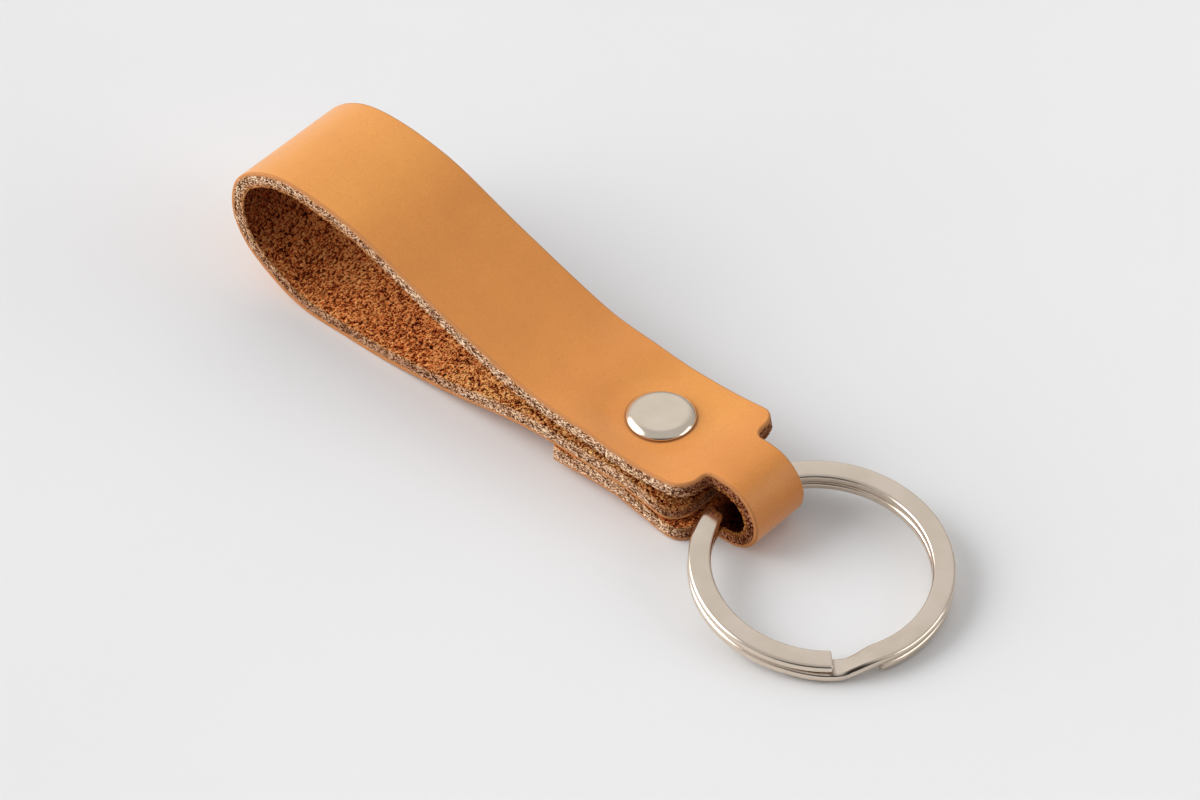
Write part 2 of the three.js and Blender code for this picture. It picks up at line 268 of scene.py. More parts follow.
def leather_edge():
    m = Nodes("leather_cut_edge")
    a = m.add("ShaderNodeAttribute", attribute_name="strap_co")
    parts = m.add("ShaderNodeSeparateXYZ")
    m.link(a.outputs["Vector"], parts.inputs["Vector"])
    depth = parts.outputs["Z"]
    along = m.coords("strap_co", (1.0, 0.7, 1.0))
    specks = m.noise(along, 5.2, 1, 0.5, 0.7)
    clumps = m.noise(along, 1.3, 2, 0.5)
    fibre = m.noise(m.coords("strap_co", (1.0, 0.34, 1.2)), 6.6, 1, 0.5, 0.6)
    shade = m.math("ADD", specks, m.math("MULTIPLY", m.math("SUBTRACT", clumps, 0.5), 0.35))
    shade = m.math("ADD", shade, m.math("MULTIPLY", m.math("SUBTRACT", fibre, 0.5), 0.8))
    colour = m.ramp(shade, [(0.375, srgb(66, 32, 18)), (0.435, srgb(126, 77, 50)), (0.50, srgb(178, 119, 80)), (0.565, srgb(218, 168, 126)), (0.635, srgb(254, 230, 198))])
    # painted shade: the neck's edges and the middle layer's end by the eye are darkened browner; the lower run's edges
    # are made browner too
    a = m.add("ShaderNodeAttribute", attribute_name="strap_neck_shade").outputs["Fac"]
    colour = m.mix(m.math("MULTIPLY", a, 0.92), colour, (*srgb(176, 128, 104), 1), "MULTIPLY")
    low = m.add("ShaderNodeAttribute", attribute_name="strap_low").outputs["Fac"]
    colour = m.mix(m.math("MULTIPLY", low, 0.6), colour, (*srgb(176, 128, 104), 1), "MULTIPLY")
    line = m.math("ADD", depth, m.math("MULTIPLY", m.math("SUBTRACT", clumps, 0.5), 0.5))
    line = m.math("SUBTRACT", line, m.math("MULTIPLY", low, 0.3))
    colour = m.mix(m.remap(line, 0.32, 0.54, 1.0, 0.0), colour, (*srgb(206, 140, 88), 1))
    fuzz = m.math("ADD", depth, m.math("MULTIPLY", m.math("SUBTRACT", specks, 0.5), 1.6))
    colour = m.mix(m.remap(fuzz, 1.75, 2.1, 0.0, 0.5), colour, (*srgb(216, 158, 98), 1))
    # golden tufts where the nap stands past the edge inside the crown; the tufts are real nap, their golden brightness
    # is painted light where light reaches the rim
    tuft = m.add("ShaderNodeAttribute", attribute_name="strap_shade").outputs["Fac"]
    tuft = m.math("MULTIPLY", tuft, m.remap(fibre, 0.36, 0.56, 0.35, 1.0))
    golden = m.ramp(fibre, [(0.40, srgb(104, 50, 18)), (0.50, srgb(176, 100, 38)), (0.60, srgb(226, 150, 74))])
    colour = m.mix(m.math("MULTIPLY", m.remap(fuzz, 1.3, 1.8, 0.0, 0.9), tuft), colour, golden)
    m.put(m.bsdf.inputs["Base Color"], colour)
    m.bsdf.inputs["Roughness"].default_value = 0.9
    m.bsdf.inputs["Specular IOR Level"].default_value = 0.04
    n = m.bump(specks, 0.8, 0.00016)
    n = m.bump(fibre, 0.6, 0.00008, n)
    m.link(n, m.bsdf.inputs["Normal"])
    return m.mat


def leather_flesh():
    m = Nodes("leather_flesh")
    nap = m.add("ShaderNodeAttribute", attribute_name="strap_nap").outputs["Fac"]
    tufts = m.noise(m.coords("strap_co", (0.66, 1.0, 1.0), (0, 0, 0.5)), 3.0, 1, 0.5, 1.0)
    hairs = m.noise(m.coords("strap_co", (0.55, 1.0, 1.0), (0, 0, -0.45)), 5.0, 1, 0.5, 0.8)
    patch = m.noise(m.coords("strap_co"), 0.45, 2, 0.5)
    strands = m.noise(m.coords("strap_co", (1.0, 0.45, 1.0), (0, 0, 0.9)), 6.8, 0, 0.5, 1.4)
    drawn = m.noise(m.coords("strap_co", (1.0, 0.42, 1.0), (0, 0, 0.2)), 4.4, 1, 0.5, 0.8)
    a = m.add("ShaderNodeAttribute", attribute_name="strap_shade").outputs["Fac"]
    h = m.math("ADD", m.math("MULTIPLY", tufts, 0.36), m.math("ADD", m.math("MULTIPLY", hairs, 0.34), m.math("MULTIPLY", strands, 0.30)))
    # round the loop's crown the nap is drawn out along the strap
    h = m.math("ADD", h, m.math("MULTIPLY", m.math("SUBTRACT", drawn, h), m.math("MULTIPLY", a, 0.75)))
    h = m.math("ADD", h, m.math("MULTIPLY", m.math("SUBTRACT", nap, 0.5), 0.16))
    h = m.math("ADD", h, m.math("MULTIPLY", m.math("SUBTRACT", patch, 0.5), 0.12))
    colour = m.ramp(h, [(0.435, srgb(44, 11, 4)), (0.47, srgb(164, 60, 20)), (0.51, srgb(240, 120, 52)), (0.56, srgb(255, 180, 108))])
    # painted shade: inside the loop's crown, inside the eye and at the middle layer's end the flesh is darkened
    # browner, where little light gets in
    colour = m.mix(a, colour, (*srgb(106, 40, 20), 1), "MULTIPLY")
    # towards the rivet it is more golden, and deep inside the eye painted shade makes it darkest
    gold = m.add("ShaderNodeAttribute", attribute_name="strap_gold").outputs["Fac"]
    colour = m.mix(gold, colour, (1.02, 1.42, 1.60, 1), "MULTIPLY")
    deep = m.add("ShaderNodeAttribute", attribute_name="strap_deep_shade").outputs["Fac"]
    colour = m.mix(deep, colour, (*srgb(168, 128, 108), 1), "MULTIPLY")
    m.put(m.bsdf.inputs["Base Color"], colour)
    m.bsdf.inputs["Roughness"].default_value = 0.95
    m.bsdf.inputs["Specular IOR Level"].default_value = 0.04
    n = m.bump(tufts, 1.0, 0.0004)
    n = m.bump(hairs, 0.8, 0.0002, n)
    m.link(n, m.bsdf.inputs["Normal"])
    return m.mat


def nickel(name, rough=(0.10, 0.17), tint=(0.86, 0.745, 0.635)):
    m = Nodes(name)
    place = m.add("ShaderNodeTexCoord").outputs["Object"]
    wide = m.noise(place, 260.0, 2, 0.5)
    fine = m.noise(place, 2400.0, 2, 0.5)
    colour = m.mix(m.remap(wide, 0.35, 0.65, 0.0, 1.0), (*tint, 1), (tint[0] * 0.94, tint[1] * 0.93, tint[2] * 0.90, 1))
    # painted shadow in the tight gap where the wire crosses over, and a painted dark reflection on the dipped strand's
    # outer edge
    gap_shade = m.add("ShaderNodeAttribute", attribute_name="wire_gap_shade").outputs["Fac"]
    colour = m.mix(gap_shade, colour, (*srgb(48, 30, 18), 1))
    m.put(m.bsdf.inputs["Base Color"], colour)
    m.bsdf.inputs["Metallic"].default_value = 1.0
    m.put(m.bsdf.inputs["Roughness"], m.remap(wide, 0.3, 0.7, *rough))
    n = m.bump(wide, 0.05, 0.0002)
    n = m.bump(fine, 0.03, 0.00002, n)
    m.link(n, m.bsdf.inputs["Normal"])
    return m.mat


GRAIN, EDGE, FLESH = leather_grain(), leather_edge(), leather_flesh()
RING_METAL = nickel("nickel_ring", (0.11, 0.17), (0.775, 0.665, 0.56))
CAP_METAL = nickel("nickel_cap", (0.11, 0.16), (0.815, 0.705, 0.585))
INNER_METAL = nickel("nickel_inner", (0.25, 0.38))


# ------------------------------------------------------------------ the strap: one piece of leather from end to end
def strap_path():
    """The grain side in X and Z, from the bottom layer's end round the eye and the hand loop to the middle layer's end."""
    eye = [[EYE_X + EYE_LEAN * (1 - math.sin(a)) / 2 + EYE_R * math.cos(a), EYE_Z + EYE_R * math.sin(a)] for a in np.linspace(-math.pi / 2, math.pi / 2, 11)]
    p = catmull(BOTTOM_LAYER + eye + TOP_LAYER + LOWER_RUN)
    s = np.concatenate([[0], np.cumsum(np.linalg.norm(np.diff(p, axis=0), axis=1))])
    even = np.arange(0, s[-1], 0.02)
    q = np.stack([np.interp(even, s, p[:, 0]), np.interp(even, s, p[:, 1])], 1)
    k = np.exp(-0.5 * (np.arange(-90, 91) * 0.02 / 0.55) ** 2)
    k /= k.sum()
    pad = np.vstack([q[0] + (q[0] - q[90:0:-1]), q, q[-1] + (q[-1] - q[-2:-92:-1])])
    q = np.stack([np.convolve(pad[:, i], k, "valid") for i in (0, 1)], 1)
    # the top layer eases into the pinch at the rivet
    wide = np.exp(-0.5 * (np.arange(-240, 241) * 0.02 / 1.7) ** 2)
    wide /= wide.sum()
    ends = np.vstack([q[0] + (q[0] - q[240:0:-1]), q, q[-1] + (q[-1] - q[-2:-242:-1])])
    eased = np.stack([np.convolve(ends[:, i], wide, "valid") for i in (0, 1)], 1)
    top = (smooth(-13, -10, q[:, 0]) * smooth(9.5, 7.0, q[:, 0]) * smooth(5.0, 6.0, q[:, 1]))[:, None]
    q = q * (1 - top) + eased * top
    s = np.concatenate([[0], np.cumsum(np.linalg.norm(np.diff(q, axis=0), axis=1))])
    return s, q


S, PATH = strap_path()
STRAP_L = float(S[-1])
TURN = np.gradient(PATH, S, axis=0)
TURN /= np.linalg.norm(TURN, axis=1)[:, None]
EYE_S = S[np.argmax(PATH[:, 0] * (S < 60))]            # the eye's furthest point along the strap


def strap_half_width(s, far=False):
    x = np.interp(s, S, PATH[:, 0])
    w = np.full(len(s), STRAP_W / 2)
    eye = s < EYE_S + 25
    c, r, neck = TAB_CORNER_R, NOTCH_R, NECK_W / 2
    a = eye & (x >= TAB_END_X - c) & (x < TAB_END_X)
    w[a] = STRAP_W / 2 - c + np.sqrt(np.maximum(c * c - (x[a] - TAB_END_X + c) ** 2, 0))
    if far:
        along, across, k = FAR_CORNER
        u = np.clip((x[a] - TAB_END_X + along) / along, 0, 1)
        w[a] = STRAP_W / 2 - across + across * (1 - u ** k) ** (1 / k)
    a = eye & (x >= TAB_END_X) & (x < TAB_END_X + r)
    w[a] = neck + r - np.sqrt(np.maximum(r * r - (TAB_END_X + r - x[a]) ** 2, 0))
    w[eye & (x >= TAB_END_X + r)] = neck
    e = INNER_END_R
    a = s > STRAP_L - e
    w[a] = STRAP_W / 2 - e + np.sqrt(np.maximum(e * e - (s[a] - STRAP_L + e) ** 2, 0))
    a = s < 0.5
    w[a] = STRAP_W / 2 - 0.5 + np.sqrt(np.maximum(0.25 - (0.5 - s[a]) ** 2, 0))
    return w


# how the riveted layers splay: rise of the top layer, middle layer and bottom layer at the near edge, along X
NEAR_TOP = np.array([[-11.5, 0], [-9.7, 0.06], [-8.0, 0.2], [-6.7, 0.38], [-5.0, 0.64], [-3.7, 0.76], [-2.2, 0.7], [-0.7, 0.58], [0.8, 0.47], [2.3, 0.39], [3.8, 0.33], [5.3, 0.22], [6.8, 0.10], [8.25, 0.02], [10, 0]])
NEAR_MIDDLE = np.array([[-14, 0], [-9, -0.1], [-4, -0.12], [0.3, -0.08], [1.6, -0.24], [2.9, -0.48], [4.2, -0.6], [5.5, -0.56], [6.8, -0.32], [8.0, -0.14], [9.2, -0.05]])
NEAR_BOTTOM = np.array([[-9.6, -0.25], [-5.2, 0], [-3.7, 0.08], [-0.7, 0.12], [0.4, 0.06], [1.6, -0.22], [2.9, -0.52], [4.2, -0.72], [5.5, -0.66], [6.8, -0.3], [8.0, -0.02], [9.0, 0]])
FAR_TOP = np.array([[-26, 0], [-20, -0.1], [-14, -0.28], [-9, -0.06], [-6, 0.2], [-4, 0.38], [0, 0.48], [3, 0.5], [6, 0.38], [8, 0.24], [10, 0.05]])
# how the run up to the hand loop leans across: rise at the far edge and fall at the near one
RUN_LEAN = np.array([[-57, 0], [-55, 0.08], [-50, 0.15], [-45, 0.23], [-40, 0.22], [-35, 0.17], [-30, 0.08], [-25, 0.05], [-20, 0]])


def strap_rise(s, x, y):
    """Height that the leather stands above or below its even fold, at a place on the strap."""
    at = lambda t: np.interp(x, t[:, 0], t[:, 1], left=t[0, 1] if t is NEAR_BOTTOM else 0, right=0)
    near, far = smooth(-3.6, -8.1, y), smooth(3.0, 8.1, y)
    bottom = s < EYE_S
    top = (s >= EYE_S) & (s < EYE_S + 62)
    middle = s > STRAP_L - 40
    r = np.hypot(x, y - RIVET_Y)
    dz = np.where(top, at(NEAR_TOP) * near + at(FAR_TOP) * far + 0.12 * (1 - smooth(4.2, 6.4, r)), 0)
    dz = dz + np.where(top | (s < EYE_S + 90) & (s >= EYE_S), at(RUN_LEAN) * y / 8.1, 0)
    dz = np.where(middle, at(NEAR_MIDDLE) * (near + 0.8 * far), dz)
    dz = np.where(bottom, at(NEAR_BOTTOM) * (near + 0.8 * far), dz)
    return dz


def build_strap():
    fine = np.arange(0, STRAP_L, 0.004)
    w = strap_half_width(fine)
    dw = np.gradient(w, fine)
    rim = np.concatenate([[0], np.cumsum(np.hypot(np.diff(fine), np.diff(w)))])
    n = int(rim[-1] / 0.255)
    s = np.interp(np.linspace(0, rim[-1], n), rim, fine)
    s[-1] = STRAP_L - 0.002
    w = strap_half_width(s)
    far_w = strap_half_width(s, True)
    out = []
    for k in (dw, np.gradient(strap_half_width(fine, True), fine)):
        slope = np.clip(np.interp(s, fine, k), -40, 40)
        out.append((-slope / np.hypot(1, slope), 1 / np.hypot(1, slope)))
    (out_s, out_y), (far_s, far_y) = out       # each rim's outward direction, along and across
    rim_at = np.interp(s, fine, rim)

    T, rg, rf, cols = STRAP_T, 0.24, 0.16, 45
    # section of a cut edge from the grain to the flesh side: outset and depth
    edge = [(-rg + rg * math.sin(a), rg - rg * math.cos(a)) for a in np.radians((28, 58, 90))]
    edge += [(0.0, d) for d in np.linspace(rg, T - rf, 12)[1:]]
    edge += [(-rf + rf * math.cos(a), T - rf + rf * math.sin(a)) for a in np.radians((35, 68))]
    edge = np.array(edge)
    ne = len(edge)
    g = np.sin(np.linspace(-1, 1, cols) * math.pi / 2 * 0.86) / math.sin(math.pi / 2 * 0.86)

    Y = np.zeros((n, 2 * cols + 2 * ne))
    D = np.zeros_like(Y)
    SH = np.zeros_like(Y)          # shift along the strap
    # grain, near to far
    pull = np.clip((np.abs(g) - 0.7) / 0.3, 0, 1) ** 2
    side = lambda near, far: np.where(g > 0, far[:, None], near[:, None])
    across = smooth(-0.5, 0.5, g)
    # at the notches a whole row shifts, so that the rows by their walls don't cross
    drawn = lambda near, far: np.where(((s > 5) & (s < EYE_S + 25))[:, None], near[:, None] * (1 - across) + far[:, None] * across, side(near, far) * pull)
    Y[:, :cols] = g * side(w - rg * out_y, far_w - rg * far_y)
    SH[:, :cols] = -rg * drawn(out_s, far_s)
    # flesh, far to near
    f = slice(cols + ne, 2 * cols + ne)
    Y[:, f] = -g * side(far_w - rf * far_y, w - rf * out_y)
    SH[:, f] = -rf * drawn(far_s, out_s)
    nap = 0.55 * noise2(Y[:, f] / 0.95 + 0.25 * noise2(Y[:, f] / 2, s[:, None] / 1.3, 5), s[:, None] / 0.42, 11) + 0.45 * noise2(Y[:, f] / 0.6 + s[:, None] * 0.3, s[:, None] / 0.62, 12)
    tamed = 0.35 + 0.65 * smooth(0.2, 1.5, side(far_w, w) - np.abs(Y[:, f]))
    D[:, f] = T + 0.20 * nap * tamed
    # the two cut edges
    for sign, part, order in ((1, slice(cols, cols + ne), edge), (-1, slice(2 * cols + ne, 2 * cols + 2 * ne), edge[::-1])):
        o, d = order[:, 0][None], order[:, 1][None]
        rough = 0.055 * noise2(rim_at[:, None] / 0.42, d / 0.36, 21 + sign) + 0.05 * noise2(rim_at[:, None] / 1.25, d / 1.0, 31 + sign) + 0.035 * noise2(rim_at[:, None] / 0.3, d / 0.25, 41 + sign)
        wander = 0.06 * noise2(rim_at[:, None] / 6.0, 0.3 + 0 * d, 51 + sign)
        o = o + rough * smooth(0.05, 0.6, d) * (1 + 0.5 * smooth(1.3, 2.0, d)) + wander * 0.5
        rim_w, rim_s, rim_y = (far_w, far_s, far_y) if sign > 0 else (w, out_s, out_y)
        Y[:, part] = sign * (rim_w[:, None] + o * rim_y[:, None])
        SH[:, part] = o * rim_s[:, None]
        ragged = 0.10 * noise2(rim_at[:, None] / 0.5, 0.7 + 0 * d, 61 + sign) + 0.07 * noise2(rim_at[:, None] / 0.27, 0.2 + 0 * d, 71 + sign)
        D[:, part] = d + ragged * smooth(1.4, 2.0, d)
    m = Y.shape[1]
    SS = np.clip(s[:, None] + SH, 0, STRAP_L)
    X0, Z0 = np.interp(SS, S, PATH[:, 0]), np.interp(SS, S, PATH[:, 1])
    TX, TZ = np.interp(SS, S, TURN[:, 0]), np.interp(SS, S, TURN[:, 1])
    rise = strap_rise(SS, X0, Y)
    neck = NECK_Y * smooth(TAB_END_X - 0.6, TAB_END_X + 1.2, X0) * (SS < EYE_S + 20)
    co = np.stack([X0 - TZ * D, Y + neck, Z0 + TX * D + rise], -1).reshape(-1, 3)
    strap_co = np.stack([Y, SS, D], -1).reshape(-1, 3)
    nap_all = np.full((n, m), 0.5)
    nap_all[:, f] = np.clip(0.5 + 0.5 * nap, 0, 1)
    nap_all = nap_all.reshape(-1)

    i, j = np.arange(n - 1)[:, None] * m, np.arange(m)[None]
    jn = (j + 1) % m
    quads = np.stack([i + j, i + jn, i + m + jn, i + m + j], -1).reshape(-1, 4)
    kind = np.array([0] * (cols - 1) + [1] * (ne + 1) + [2] * (cols - 1) + [1] * (ne + 1))
    kind = np.broadcast_to(kind, (n - 1, m)).reshape(-1)
    faces = quads.tolist()
    kinds = kind.tolist()

    # the two cut ends, as grids between the edges
    extra, extra_co, extra_nap = [], [], []
    for end, row in ((0, 0), (1, n - 1)):
        base = row * m
        grain = [base + c for c in range(cols)]
        flesh = [base + cols + ne + c for c in range(cols)][::-1]
        far = [base + cols + k for k in range(ne)]
        near = [base + 2 * cols + ne + k for k in range(ne)][::-1]
        rows = [grain]
        tx, tz = TURN[0 if end == 0 else -1]
        for k in range(ne):
            a, b = co[near[k]], co[far[k]]
            ys = np.linspace(0, 1, cols)[1:-1]
            pts = a[None] * (1 - ys[:, None]) + b[None] * ys[:, None]
            dep = strap_co[near[k]][2]
            h = 0.06 * noise2(pts[:, 1] / 0.45, dep / 0.4 + 0 * ys, 81 + end) + 0.05 * noise2(pts[:, 1] / 1.2, dep / 0.9 + 0 * ys, 83 + end)
            pts[:, 0] += (-1 if end == 0 else 1) * tx * h
            pts[:, 2] += (-1 if end == 0 else 1) * tz * h
            first = len(co) + len(extra)
            extra += pts.tolist()
            extra_co += [[p[1], strap_co[near[k]][1], dep] for p in pts]
            extra_nap += [0.5] * len(pts)
            rows.append([near[k]] + list(range(first, first + cols - 2)) + [far[k]])
        rows.append(flesh)
        for r0, r1 in zip(rows[:-1], rows[1:]):
            for c in range(cols - 1):
                q = [r0[c], r0[c + 1], r1[c + 1], r1[c]]
                faces.append(q if end == 1 else q[::-1])
                kinds.append(1)
    co = np.vstack([co, np.array(extra)])
    strap_co = np.vstack([strap_co, np.array(extra_co)])
    nap_all = np.concatenate([nap_all, extra_nap])

    q = np.array(faces)
    tri = np.vstack([q[:, [0, 1, 2]], q[:, [0, 2, 3]]])
    vol = np.einsum("ij,ij->i", co[tri[:, 0]], np.cross(co[tri[:, 1]], co[tri[:, 2]])).sum()
    if vol < 0:
        faces = q[:, ::-1].tolist()
    ob = new_piece("leather_strap", co, faces)
    me = ob.data
    # a layout with no overlaps: two lengths of the unrolled strap side by side, the cut ends beside them
    round_by = np.concatenate([np.linspace(0, 16.2, cols), 16.2 + np.linspace(0, 2.0, ne + 2)[1:-1], 18.2 + np.linspace(0, 16.2, cols), 34.4 + np.linspace(0, 2.0, ne + 2)[1:-1], [36.4]])
    half = n // 2
    fi, fj = np.divmod(np.arange((n - 1) * m), m)
    corner_i = np.stack([fi, fi, fi + 1, fi + 1], 1)
    corner_j = np.stack([fj, fj + 1, fj + 1, fj], 1)
    second = (fi >= half)[:, None]
    u = round_by[corner_j] + np.where(second, 38.4, 0.0)
    v = s[corner_i] - np.where(second, s[half], 0.0)
    uv = np.stack([u, v], -1)
    end_uv = []
    for end in (0, 1):
        for r in range(ne + 1):
            for c in range(cols - 1):
                y0, y1 = c / (cols - 1) * 16.2, (c + 1) / (cols - 1) * 16.2
                d0, d1 = 76.8 + end * 3.5 + r / (ne + 1) * 2.0, 76.8 + end * 3.5 + (r + 1) / (ne + 1) * 2.0
                q = [(d0, y0), (d0, y1), (d1, y1), (d1, y0)]
                end_uv.append(q if end == 1 else q[::-1])
    uv = (np.vstack([uv, np.array(end_uv)]) + 0.6) / 97.5
    if vol < 0:
        uv = uv[:, ::-1]
    layer = me.uv_layers.new(name="OFBake")
    layer.data.foreach_set("uv", uv.astype(np.float32).ravel())
    for mat in (GRAIN, EDGE, FLESH):
        me.materials.append(mat)
    me.polygons.foreach_set("material_index", kinds)
    at = me.attributes.new("strap_co", "FLOAT_VECTOR", "POINT")
    at.data.foreach_set("vector", strap_co.astype(np.float32).ravel())
    at = me.attributes.new("strap_nap", "FLOAT", "POINT")
    at.data.foreach_set("value", nap_all.astype(np.float32))
    # where a place on the grain side lies from the rivet's axis, to place the painted contact shadow round the caps
    cap_shadow_at = np.stack([co[:, 0], co[:, 1] - RIVET_Y, np.where(np.abs(strap_co[:, 2]) < 0.3, 0, 20)], 1)
    at = me.attributes.new("strap_cap_shadow_at", "FLOAT_VECTOR", "POINT")
    at.data.foreach_set("vector", cap_shadow_at.astype(np.float32).ravel())
    # how far a place lies inside the crown of the hand loop, where shade is painted
    where = strap_co[:, 1]
    x = np.interp(where, S, PATH[:, 0])
    z = np.interp(where, S, PATH[:, 1])
    crown = smooth(-24, -40, x) * np.interp(where, [111, 119, 126, 134], [1.0, 0.6, 0.2, 0.0]) * (where > EYE_S)
    eye = smooth(9.5, 13.0, x) * (where < EYE_S + 20)
    # painted shade on the cut edges of the neck and of the middle layer's end by the eye
    at = me.attributes.new("strap_neck_shade", "FLOAT", "POINT")
    at.data.foreach_set("value", np.maximum(smooth(7.5, 10.5, x) * (where < EYE_S + 20), 0.9 * smooth(STRAP_L - 4.5, STRAP_L - 0.5, where)).astype(np.float32))
    # masks for painted light on the crown and the open half of the tab, painted shade on the front of the eye and deep
    # inside the eye, browner lower-run edges and more golden flesh towards the rivet
    for label, value in (("strap_painted_light", (where > EYE_S) * (where < 112) * np.maximum(smooth(-33, -45, x), 0.9 * smooth(-9, -1, x) * smooth(9.5, 5.0, x) * smooth(-2.5, 4.0, strap_co[:, 0]))), ("strap_eye_front_shade", smooth(8.2, 5.0, z) * smooth(11.0, 14.0, x) * (where < EYE_S + 20)), ("strap_low", smooth(116, 132, where) * (1 - 0.8 * smooth(148, 164, where))), ("strap_gold", smooth(-34, -17, x) * (where > 140)), ("strap_deep_shade", 0.9 * smooth(10.2, 13.0, x) * (where < EYE_S + 20))):
        at = me.attributes.new(label, "FLOAT", "POINT")
        at.data.foreach_set("value", value.astype(np.float32))
    # painted shade inside the crown, inside the eye and at the middle layer's end
    at = me.attributes.new("strap_shade", "FLOAT", "POINT")
    at.data.foreach_set("value", np.maximum(0.95 * crown + 0.9 * eye, 0.5 * smooth(STRAP_L - 8, STRAP_L - 2, where)).astype(np.float32))
    return ob


strap = build_strap()
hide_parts("strap_front_fold", "strap_inner_end", "strap_hand_loop")
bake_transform(strap)


# ------------------------------------------------------------------ the rivet's two caps
def turned(name, profile, segments=96):
    p = np.array(profile, float)
    a = np.linspace(0, 2 * math.pi, segments, endpoint=False)
    on_axis = [k for k in range(len(p)) if p[k, 0] < 1e-9]
    co, index = [], {}
    for k, (r, z) in enumerate(p):
        if k in on_axis:
            index[k] = [len(co)] * segments
            co.append([0, RIVET_Y, z])
        else:
            index[k] = list(range(len(co), len(co) + segments))
            co += [[r * math.cos(t), RIVET_Y + r * math.sin(t), z] for t in a]
    faces = []
    for k in range(len(p) - 1):
        for c in range(segments):
            d = (c + 1) % segments
            f = [index[k][c], index[k][d], index[k + 1][d], index[k + 1][c]]
            f = list(dict.fromkeys(f))
            if len(f) > 2:
                faces.append(f)
    co = np.array(co)
    if signed_volume(co, faces) < 0:
        faces = [f[::-1] for f in faces]
    return new_piece(name, co, faces)


def cap_profile():
    """A pressed cap: a face with a slight crown, a rolled bevel and a thin rim; height above the leather."""
    pts = [(r, 1.06 - 0.012 * (r / 2.8) ** 2) for r in np.linspace(0, 2.8, 12)]
    bevel = catmull([(2.8, 1.048), (2.95, 1.035), (3.1, 1.008), (3.25, 0.965), (3.4, 0.908), (3.55, 0.835), (3.7, 0.745), (3.83, 0.65), (3.94, 0.545), (3.995, 0.45), (4.0, 0.34), (3.985, 0.24), (3.93, 0.16)], 5)
    pts += [tuple(b) for b in bevel[1:]]
    pts += [(3.84, 0.12), (3.66, 0.12), (3.5, 0.36), (3.3, 0.55), (2.95, 0.68), (1.5, 0.70), (0, 0.70)]
    return pts


top_cap = turned("rivet_cap_top", [(r, RIVET_TOP_Z + z) for r, z in cap_profile()])
base_cap = turned("rivet_cap_base", [(r, RIVET_BOTTOM_Z - z) for r, z in cap_profile()])
for ob, node in ((top_cap, "rivet_top_cap"), (base_cap, "rivet_base_cap")):
    ob.data.materials.append(CAP_METAL)
    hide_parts(node)
    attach(ob, "strap")
for node in ("rivet_socket", "rivet_post"):
    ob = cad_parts[node]
    ob.data.materials.clear()
    ob.data.materials.append(INNER_METAL)


# ------------------------------------------------------------------ the split ring: one flat wire in two turns
def wire_section():
    """Outline of the wire, radial and along the ring's axis, with flat sides and rolled edges."""
    w, h, e = RING_BAND / 2, RING_WIRE_T / 2, 0.38
    pts = []
    for cx, cy, a0 in ((w - e, h - e, 0), (-w + e, h - e, 90), (-w + e, -h + e, 180), (w - e, -h + e, 270)):
        for a in np.radians(a0 + np.linspace(0, 90, 7)):
            pts.append((cx + e * math.cos(a), cy + e * math.sin(a)))
        if a0 in (0, 180):
            k = 1 if a0 == 0 else -1
            for t in np.linspace(-1, 1, 9)[1:-1]:
                pts.append((-k * t * (w - e), k * (h + 0.006 * (1 - t * t))))
    return np.array(pts)


def coil_height(a):
    upper, lower = 1.5 * RING_WIRE_T + RING_TURN_GAP, 0.5 * RING_WIRE_T
    foot = RING_END - 360
    k = np.clip((foot + RING_RAMP - a) / RING_RAMP, 0, 1)
    return upper + (lower - upper) * k * k * (3 - 2 * k)


def coil_step(a):
    """How far the wire steps outwards where it dips to pass under the free end."""
    foot = RING_END - 360
    return 0.26 * smooth(foot + RING_RAMP * 0.9, foot + 2, a) * smooth(foot - 26, foot - 4, a)


def coil_twist(a):
    """How far the wire is twisted in the dip, its outer edge up."""
    foot = RING_END - 360
    return np.radians(14.0 * smooth(foot + RING_RAMP, foot + 9, a) * smooth(foot + 0.5, foot + 7, a))


def ring_turn():
    """The ring's pose: a roll about X after a tilt about Y."""
    a, b = math.radians(RING_ROLL), math.radians(RING_TILT)
    roll = np.array([[1, 0, 0], [0, math.cos(a), -math.sin(a)], [0, math.sin(a), math.cos(a)]])
    tilt = np.array([[math.cos(b), 0, math.sin(b)], [0, 1, 0], [-math.sin(b), 0, math.cos(b)]])
    return roll @ tilt


